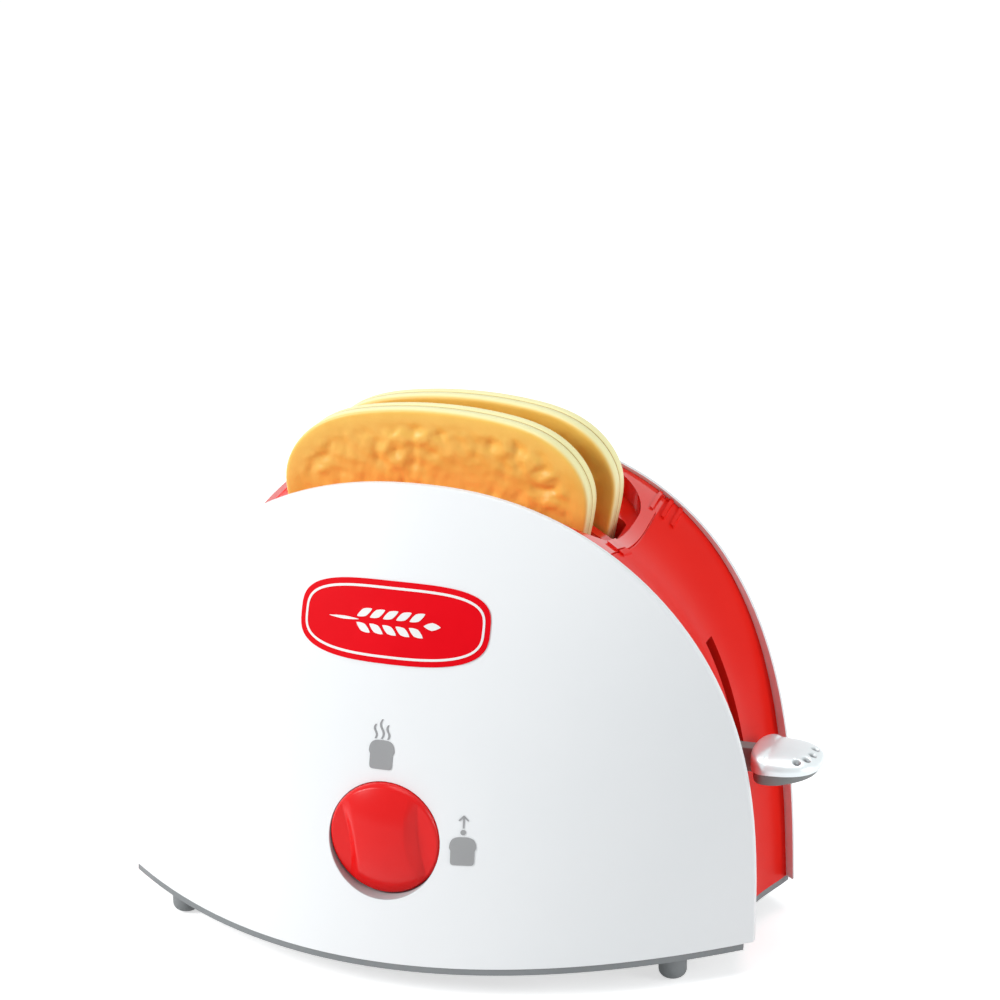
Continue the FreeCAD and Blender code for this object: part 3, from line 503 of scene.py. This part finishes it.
tray_inset = 0.9 * mm
tray_tip_wall = 1.3 * mm
tray_edge = 0.35 * mm
slope_start = paddle_turn + 3.0 * mm
deselect_all()
bpy.ops.mesh.primitive_circle_add(vertices=96, radius=1.0, fill_type="NGON",
                                  location=(0.0, 0.0, paddle_foot))
tray = bpy.context.object
for vertex in tray.data.vertices:
    vertex.co.x, vertex.co.y = paddle_plan(vertex.co.y, vertex.co.x, tray_inset)
set_place(tray)
bpy.ops.object.mode_set(mode="EDIT")
bpy.ops.mesh.select_all(action="SELECT")
down = {"value": (0.0, 0.0, arm_low[2] - paddle_foot)}
bpy.ops.mesh.extrude_region_move(TRANSFORM_OT_translate=down)
bpy.ops.object.mode_set(mode="OBJECT")
for vertex in tray.data.vertices:
    share = (vertex.co.x - slope_start) / (paddle_tip - slope_start)
    if vertex.co.z < paddle_foot - mm and share > 0.0:
        vertex.co.z += share * (paddle_foot - tray_tip_wall - arm_low[2])
bpy.ops.object.mode_set(mode="EDIT")
bpy.ops.mesh.select_all(action="SELECT")
bpy.ops.mesh.normals_make_consistent(inside=False)
bpy.ops.object.mode_set(mode="OBJECT")
soft = tray.modifiers.new("soft edge", "BEVEL")
soft.width = tray_edge
soft.segments = 3
soft.limit_method = "ANGLE"
bpy.ops.object.modifier_apply(modifier=soft.name)

blade_half = 2.5 * mm
blade_high = arm_low[2] + 7.8 * mm
blade_end = paddle_turn + 4.0 * mm
flange_half, flange_depth = 9.0 * mm, 2.5 * mm
blade = rounded_bar((arm_low[0], -blade_half, arm_low[2]), (blade_end, blade_half, blade_high),
                    0.4 * mm)
flange = rounded_bar((arm_low[0], -flange_half, arm_low[2]),
                     (arm_low[0] + flange_depth, flange_half, arm_high[2]), 0.6 * mm)
deselect_all()
for part in (blade, flange, tray):
    part.select_set(True)
bpy.context.view_layer.objects.active = tray
bpy.ops.object.join()
arm = keep_in_place(tray, "lever_blade_and_tray", stem_abs, "carriage")
smooth_finish(arm, 35.0)
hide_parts("lever_arm")

paddle_steps = 96
dimple_radius = 1.35 * mm
dimple_depth, dimple_power = 0.8 * mm, 0.7
dimple_reach = 0.82
dimples = []
for turn in (-47.0, -24.0, -3.0, 15.0):
    front, side = paddle_plan(math.sin(math.radians(turn)), math.cos(math.radians(turn)), 0.0)
    dimples.append((paddle_turn + dimple_reach * (front - paddle_turn), dimple_reach * side))
crown_power, back_squareness = 2.2, 4.0   # the cap's crown, and how much squarer it is behind
paddle_wall = 0.9 * mm
deselect_all()
bpy.ops.mesh.primitive_grid_add(x_subdivisions=paddle_steps, y_subdivisions=paddle_steps, size=2.0)
cap = bpy.context.object
# Red of this attribute holds the pits' painted shade.
paint = cap.data.color_attributes.new(name="painted_light_and_joint", type="FLOAT_COLOR", domain="POINT")
for vertex in cap.data.vertices:
    level = max(abs(vertex.co.x), abs(vertex.co.y))
    ring = round((1.0 - level) * paddle_steps / 2.0)
    front, side, height, pit = paddle_turn, 0.0, paddle_rise, 0.0
    if ring < paddle_steps // 2:
        reach = math.sin(0.5 * math.pi * (1.0 - max(0, ring - 1) / (paddle_steps / 2.0 - 1.0)))
        front, side = paddle_plan(vertex.co.y, vertex.co.x, 0.0)
        front = paddle_turn + reach * (front - paddle_turn)
        side *= reach
        behind = min(1.0, max(0.0, (paddle_turn - front) / paddle_corner))
        power = crown_power + back_squareness * behind
        height = paddle_rise * max(0.0, 1.0 - reach ** power) ** (1.0 / power)
    if ring == 0:
        height = -paddle_skirt
    for dimple in dimples:
        away = math.hypot(front - dimple[0], side - dimple[1]) / dimple_radius
        if away < 1.0:
            pit = (1.0 - away ** 2) ** dimple_power
            height -= dimple_depth * pit
    vertex.co = (front, side, paddle_foot + paddle_skirt + height)
    # Painted shade: the pit share is stored so that the pits are darkened in colour.
    paint.data[vertex.index].color = (pit, 0.0, 0.0, 1.0)
wall = cap.modifiers.new("wall", "SOLIDIFY")
wall.thickness = paddle_wall
wall.offset = -1.0
bpy.ops.object.modifier_apply(modifier=wall.name)

silver_abs = moulded("silver abs", (0.88, 0.94, 0.955), (0.83, 0.89, 0.905), (0.28, 0.38),
                     cloud_size=90.0, peel_size=1800.0, coat=0.2)
tree = silver_abs.node_tree
silver_shader = tree.nodes["Principled BSDF"]
silver_shader.inputs["Metallic"].default_value = 0.45
painted_light_and_joint = tree.nodes.new("ShaderNodeAttribute")
painted_light_and_joint.attribute_name = "painted_light_and_joint"
parts = tree.nodes.new("ShaderNodeSeparateColor")
# Painted shade: the colour is mixed towards dark grey inside the pits.
pit_painted_shade = tree.nodes.new("ShaderNodeMix")
pit_painted_shade.data_type = "RGBA"
pit_painted_shade.inputs["B"].default_value = (0.12, 0.13, 0.14, 1.0)
skin = next(node for node in tree.nodes if node.type == "GROUP")
tree.links.new(painted_light_and_joint.outputs["Color"], parts.inputs["Color"])
tree.links.new(parts.outputs["Red"], pit_painted_shade.inputs["Factor"])
tree.links.new(skin.outputs["Colour"], pit_painted_shade.inputs["A"])
tree.links.new(pit_painted_shade.outputs["Result"], silver_shader.inputs["Base Color"])
keep_in_place(cap, "lever_paddle", silver_abs, "carriage")
smooth_finish(cap, 50.0)
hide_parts("lever_cap")


# The dial and its cup: a glossy red knob with an hourglass grip, turning in a light grey cup
# that lines the hole in the front panel.
dial_red = moulded("dial abs", (0.80, 0.008, 0.008), (0.76, 0.006, 0.006), (0.2, 0.28),
                   cloud_size=40.0, peel_size=700.0, peel_depth=0.000006, specular=0.25)
cup_grey = moulded("cup abs", (0.52, 0.58, 0.59), (0.49, 0.55, 0.56), (0.5, 0.6), specular=0.15)
finish_node("dial_liner", cup_grey)
dial_low, dial_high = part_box("dial_knob")
dial_x = (dial_low[0] + dial_high[0]) / 2.0
dial_z = (dial_low[2] + dial_high[2]) / 2.0
drum_radius = (dial_high[0] - dial_low[0]) / 2.0 + 0.3 * mm
drum_rim = dial_low[1] + 4.3 * mm        # the drum's front edge, sunk a little in the cup
drum_depth = 6.0 * mm
grip_half = 7.4 * mm                     # the grip's half width at its waist
grip_flare = 3.4 * mm
grip_wall = 3.4 * mm
grip_rise = 4.0 * mm
grip_turn = math.radians(6.0)
grip_foot_power = 1.7                    # how quickly the grip's walls run out at their foot
floor_height, floor_crown = 0.35 * mm, 0.5 * mm
dial_wall = 1.5 * mm
dial_steps = 150
dial_edge = (                            # ring by ring from behind: share of the radius, height
    (1.0, -drum_depth), (1.0, -0.6 * drum_depth), (1.0, -0.9 * mm), (0.992, -0.3 * mm),
    (0.975, 0.1 * mm),
)
face_reach = 0.955                       # share of the radius where the face begins


def dial_face(across, up):
    """How far the dial's face stands before its rim: a low floor and the hourglass grip."""
    reach = math.hypot(across, up) / drum_radius
    side = abs(across * math.cos(grip_turn) + up * math.sin(grip_turn))
    along = (up * math.cos(grip_turn) - across * math.sin(grip_turn)) / drum_radius
    edge = grip_half + grip_flare * along * along
    share = min(1.0, max(0.0, (edge + grip_wall - side) / grip_wall))
    share = 1.0 - (1.0 - share) ** grip_foot_power
    crown = 1.0 - reach * reach
    return floor_height + floor_crown * crown + share * grip_rise * max(0.0, crown)


deselect_all()
bpy.ops.mesh.primitive_grid_add(x_subdivisions=dial_steps, y_subdivisions=dial_steps, size=2.0,
                                rotation=mark_turn)
knob = bpy.context.object
set_place(knob)
for vertex in knob.data.vertices:
    level = max(abs(vertex.co.x), abs(vertex.co.z))
    ring = round((1.0 - level) * dial_steps / 2.0)
    aim = Vector((vertex.co.x, vertex.co.z))
    if level > 0.0:
        aim.normalize()
    if ring < len(dial_edge):
        reach, height = dial_edge[ring]
    else:
        inner = (ring - len(dial_edge)) / (dial_steps / 2.0 - len(dial_edge))
        reach = face_reach * (1.0 - inner)
        height = dial_face(aim.x * reach * drum_radius, aim.y * reach * drum_radius)
    vertex.co = (dial_x + aim.x * reach * drum_radius, drum_rim - height,
                 dial_z + aim.y * reach * drum_radius)
wall = knob.modifiers.new("wall", "SOLIDIFY")
wall.thickness = dial_wall
wall.offset = -1.0
bpy.ops.object.modifier_apply(modifier=wall.name)
stem_start, stem_radius = drum_rim + 0.6 * mm, 4.0 * mm
deselect_all()
bpy.ops.mesh.primitive_cylinder_add(vertices=48, radius=stem_radius,
                                    depth=dial_high[1] - stem_start,
                                    location=(dial_x, (dial_high[1] + stem_start) / 2.0, dial_z),
                                    rotation=mark_turn)
stem = bpy.context.object
set_place(stem)
deselect_all()
stem.select_set(True)
knob.select_set(True)
bpy.context.view_layer.objects.active = knob
bpy.ops.object.join()
keep_in_place(knob, "dial_with_grip", dial_red, "dial")
smooth_finish(knob, 40.0)
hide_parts("dial_knob")

lip_radius = (dial_high[0] - dial_low[0]) / 2.0 + 0.5 * mm
lip_lift, lip_depth, lip_wall = 0.2 * mm, 8.0 * mm, 0.12 * mm
feeler_out = 1.2 * mm                    # the panel's face is felt this far outside the lip
deselect_all()
bpy.ops.mesh.primitive_cylinder_add(vertices=128, radius=lip_radius, depth=20.0 * mm,
                                    end_fill_type="NOTHING", location=(dial_x, print_front, dial_z),
                                    rotation=mark_turn)
lip = bpy.context.object
set_place(lip)
for vertex in lip.data.vertices:
    aim = Vector((vertex.co.x - dial_x, 0.0, vertex.co.z - dial_z))
    feeler = Vector((dial_x, print_front, dial_z)) + aim * (1.0 + feeler_out / lip_radius)
    face_y = nodes["front_panel"].ray_cast(feeler, Vector((0.0, 1.0, 0.0)))[1].y
    vertex.co.y = face_y + (lip_lift if vertex.co.y < print_front else lip_depth)
wall = lip.modifiers.new("wall", "SOLIDIFY")
wall.thickness = lip_wall
wall.offset = 0.0
bpy.ops.object.modifier_apply(modifier=wall.name)
keep_in_place(lip, "dial_cup_lip", cup_grey, "housing")
smooth_finish(lip, 40.0)


# The play toast: two thin hollow halves of honey-coloured PVC per slice, glued together round
# the edge, where a fine line shows. The rim is smooth and painted pale, a painted highlight along
# the edge, and the crumb inside it lumpy.
lump_scale, lump_detail = 150.0, 3.0
crumb_scale, crumb_depth = 900.0, 0.04 * mm
tone_low, tone_high = 0.34, 0.66


def make_toast_skin():
    material = bpy.data.materials.new("toast pvc")
    material.use_nodes = True
    tree = material.node_tree
    shader = tree.nodes["Principled BSDF"]
    place = tree.nodes.new("ShaderNodeTexCoord")
    lumps = tree.nodes.new("ShaderNodeTexNoise")
    lumps.inputs["Scale"].default_value = lump_scale
    lumps.inputs["Detail"].default_value = lump_detail
    crumbs = tree.nodes.new("ShaderNodeTexNoise")
    crumbs.inputs["Scale"].default_value = crumb_scale
    tone = tree.nodes.new("ShaderNodeMapRange")
    tone.inputs["From Min"].default_value = tone_low
    tone.inputs["From Max"].default_value = tone_high
    crumb_colour = tree.nodes.new("ShaderNodeMix")
    crumb_colour.data_type = "RGBA"
    crumb_colour.inputs["A"].default_value = (0.90, 0.53, 0.092, 1.0)
    crumb_colour.inputs["B"].default_value = (0.94, 0.58, 0.112, 1.0)
    painted_light_and_joint = tree.nodes.new("ShaderNodeAttribute")
    painted_light_and_joint.attribute_name = "painted_light_and_joint"
    parts = tree.nodes.new("ShaderNodeSeparateColor")
    # Painted highlight: the pale rim colour stands in for the light along the slice's edges.
    painted_rim_highlight = tree.nodes.new("ShaderNodeMix")
    painted_rim_highlight.data_type = "RGBA"
    painted_rim_highlight.inputs["B"].default_value = (0.98, 0.91, 0.47, 1.0)
    joint_colour = tree.nodes.new("ShaderNodeMix")
    joint_colour.data_type = "RGBA"
    joint_colour.inputs["B"].default_value = (0.34, 0.24, 0.07, 1.0)
    gloss = tree.nodes.new("ShaderNodeMapRange")
    gloss.inputs["To Min"].default_value = 0.30
    gloss.inputs["To Max"].default_value = 0.44
    bump = tree.nodes.new("ShaderNodeBump")
    bump.inputs["Distance"].default_value = crumb_depth
    link = tree.links.new
    link(place.outputs["Object"], lumps.inputs["Vector"])
    link(place.outputs["Object"], crumbs.inputs["Vector"])
    link(lumps.outputs["Fac"], tone.inputs["Value"])
    link(tone.outputs["Result"], crumb_colour.inputs["Factor"])
    link(painted_light_and_joint.outputs["Color"], parts.inputs["Color"])
    link(parts.outputs["Red"], painted_rim_highlight.inputs["Factor"])
    link(crumb_colour.outputs["Result"], painted_rim_highlight.inputs["A"])
    link(parts.outputs["Green"], joint_colour.inputs["Factor"])
    link(painted_rim_highlight.outputs["Result"], joint_colour.inputs["A"])
    link(joint_colour.outputs["Result"], shader.inputs["Base Color"])
    link(lumps.outputs["Fac"], gloss.inputs["Value"])
    link(gloss.outputs["Result"], shader.inputs["Roughness"])
    link(crumbs.outputs["Fac"], bump.inputs["Height"])
    link(bump.outputs["Normal"], shader.inputs["Normal"])
    shader.inputs["Specular IOR Level"].default_value = 0.35
    return material


toast_pvc = make_toast_skin()
toast_steps = 150                 # grid steps across a slice, so 75 rings from rim to middle
toast_wall = 1.4 * mm
toast_rim = [                     # ring by ring from the glued joint, with lengths in millimetres: inset, depth, painted highlight and joint line
    (0.30, 0.00, 0.0, 1.0), (0.22, 0.16, 0.0, 0.8), (0.00, 0.42, 1.0, 0.0),     # inset, depth,
    (0.00, 2.00, 1.0, 0.0), (0.00, 3.70, 1.0, 0.0), (0.10, 4.20, 0.8, 0.0),     # paleness and
    (0.40, 4.65, 0.3, 0.0), (0.80, 4.90, 0.0, 0.0), (1.40, 5.00, 0.0, 0.0),     # joint line
    (2.60, 5.00, 0.0, 0.0), (3.80, 4.96, 0.0, 0.0),
]


swell_pitch, bump_pitch, grain_pitch = 55.0, 245.0, 460.0
swell_rise, bump_rise, grain_rise = 0.25, 1.6, 0.2      # in millimetres
crumb_top, crumb_sink = 0.6, 0.4
crumb_margin = 5.0                # rings over which the lumps grow from nothing


def crumb_height(x, z, seed):
    """The lumps of the crumb, in millimetres: broad swells, bean-sized bumps and small grains."""
    swell = noise.noise(Vector((swell_pitch * x, swell_pitch * z, seed)))
    bump = noise.noise(Vector((bump_pitch * x, bump_pitch * z, seed + 5.0)))
    bump = math.copysign(abs(bump) ** 1.3, bump) * max(0.0, 0.8 + swell)
    grain = noise.noise(Vector((grain_pitch * x, grain_pitch * z, seed + 9.0)))
    height = swell_rise * swell + bump_rise * bump + grain_rise * grain
    return min(height, crumb_top) - crumb_sink


def toast_half(solid_name, facing, seed):
    """Half of a hollow slice, drawn from a grid out to the outline of its solid."""
    solid = nodes[solid_name]
    low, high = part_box(solid_name)
    joint_y = high[1] if facing < 0 else low[1]
    middle = Vector(((low[0] + high[0]) / 2.0, joint_y, (low[2] + high[2]) / 2.0))
    size = high[0] - low[0]
    deselect_all()
    bpy.ops.mesh.primitive_grid_add(x_subdivisions=toast_steps, y_subdivisions=toast_steps,
                                    size=size, location=middle,
                                    rotation=(math.radians(-90.0 * facing), 0.0, 0.0))
    half = bpy.context.object
    set_place(half)
    # Red of this attribute holds the rim's painted highlight, green the glued joint line.
    paint = half.data.color_attributes.new(name="painted_light_and_joint", type="FLOAT_COLOR", domain="POINT")
    rings = toast_steps // 2
    for vertex in half.data.vertices:
        across = (vertex.co.x - middle.x) * 2.0 / size
        up = (vertex.co.z - middle.z) * 2.0 / size
        ring = round((1.0 - max(abs(across), abs(up))) * rings)
        aim = Vector((across, 0.0, up))
        reach = 0.0
        if ring < rings:
            aim.normalize()
            feeler = middle + Vector((0.0, facing * mm, 0.0)) + aim * size
            reach = size - (solid.ray_cast(feeler, -aim)[1] - feeler).length
        rim_highlight, joint = 0.0, 0.0
        if ring < len(toast_rim):
            inset, depth, rim_highlight, joint = toast_rim[ring]
            reach -= inset * mm
        else:
            inner = (ring - len(toast_rim) + 1.0) / (rings - len(toast_rim) + 1.0)
            reach = (reach - toast_rim[-1][0] * mm) * (1.0 - inner)
            depth = toast_rim[-1][1]
        spot = middle + aim * reach
        if ring >= len(toast_rim):
            rise = min(1.0, (ring - len(toast_rim) + 1.0) / crumb_margin)
            depth += rise * crumb_height(spot.x - middle.x, spot.z - middle.z, seed)
        spot.y += facing * depth * mm
        vertex.co = spot
        paint.data[vertex.index].color = (rim_highlight, joint, 0.0, 1.0)
    wall = half.modifiers.new("wall", "SOLIDIFY")
    wall.thickness = toast_wall
    wall.offset = -1.0
    bpy.ops.object.modifier_apply(modifier=wall.name)
    bpy.ops.object.shade_smooth()
    return half


for number, row in enumerate(("front", "back")):
    for facing, side in ((-1, "near"), (1, "far")):
        solid_name = "%s_slice_%s_half" % (row, side)
        half = toast_half(solid_name, facing, 3.0 + 20.0 * number + 10.0 * facing)
        keep_in_place(half, "%s_toast_%s_half" % (row, side), toast_pvc, row + "_toast")
        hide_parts(solid_name)


# The table and the light: a plain pale surface, a large soft lamp from the left with two weaker
# ones above and at the right, and a white room.
def seen_directly(tree):
    """One where the camera sees the thing itself, in a mirror or through glass, else nought."""
    ray = tree.nodes.new("ShaderNodeLightPath")
    answer = ray.outputs["Is Camera Ray"]
    for name in ("Is Glossy Ray", "Is Transmission Ray"):
        either = tree.nodes.new("ShaderNodeMath")
        either.operation = "MAXIMUM"
        tree.links.new(answer, either.inputs[0])
        tree.links.new(ray.outputs[name], either.inputs[1])
        answer = either.outputs[0]
    return answer


floor_size, floor_drop, floor_glow = 14.0, 0.3 * mm, 0.62
deselect_all()
bpy.ops.mesh.primitive_plane_add(size=floor_size, location=(0.0, 0.0, -floor_drop))
floor = bpy.context.object
floor.name = "floor"
floor_paint = bpy.data.materials.new("floor paint")
floor_paint.use_nodes = True
tree = floor_paint.node_tree
shader = tree.nodes["Principled BSDF"]
shader.inputs["Base Color"].default_value = (0.86, 0.86, 0.86, 1.0)
shader.inputs["Roughness"].default_value = 0.9
shader.inputs["Specular IOR Level"].default_value = 0.1
glow = tree.nodes.new("ShaderNodeMath")
glow.operation = "MULTIPLY"
glow.inputs[1].default_value = floor_glow
tree.links.new(seen_directly(tree), glow.inputs[0])
shader.inputs["Emission Color"].default_value = (1.0, 1.0, 1.0, 1.0)
tree.links.new(glow.outputs[0], shader.inputs["Emission Strength"])
floor.data.materials.append(floor_paint)

world = bpy.data.worlds.new("room")
world.use_nodes = True
bpy.context.scene.world = world
tree = world.node_tree
room = tree.nodes["Background"]
walls = tree.nodes.new("ShaderNodeMix")
walls.data_type = "RGBA"
walls.inputs["A"].default_value = (0.265, 0.292, 0.308, 1.0)
walls.inputs["B"].default_value = (1.0, 1.0, 1.0, 1.0)
tree.links.new(seen_directly(tree), walls.inputs["Factor"])
tree.links.new(walls.outputs["Result"], room.inputs["Color"])


def lamp(name, place, aim, size, power):
    light = bpy.data.lights.new(name, "AREA")
    light.shape = "DISK"
    light.size = size
    light.energy = power
    holder = bpy.data.objects.new(name, light)
    bpy.context.scene.collection.objects.link(holder)
    holder.location = place
    holder.rotation_euler = (Vector(aim) - Vector(place)).to_track_quat("-Z", "Y").to_euler()


middle = (0.0, 0.0, 0.08)
lamp("key lamp", (-1.45, -1.2, 1.15), middle, 1.0, 35.0)
lamp("top lamp", (0.2, 0.3, 1.8), middle, 1.2, 10.0)
lamp("side lamp", (1.75, -0.12, 0.6), middle, 1.0, 10.0)

camera_data = bpy.data.cameras.new("camera")
camera_data.lens = 120.35
camera_data.sensor_width = 36.0
camera = bpy.data.objects.new("camera", camera_data)
bpy.context.scene.collection.objects.link(camera)
camera.location = (middle_x + 0.3366, -0.9166, 0.4426)
camera.rotation_euler = (math.radians(72.374), math.radians(0.732), math.radians(19.116))
bpy.context.scene.camera = camera
bpy.context.scene.view_settings.view_transform = "Standard"
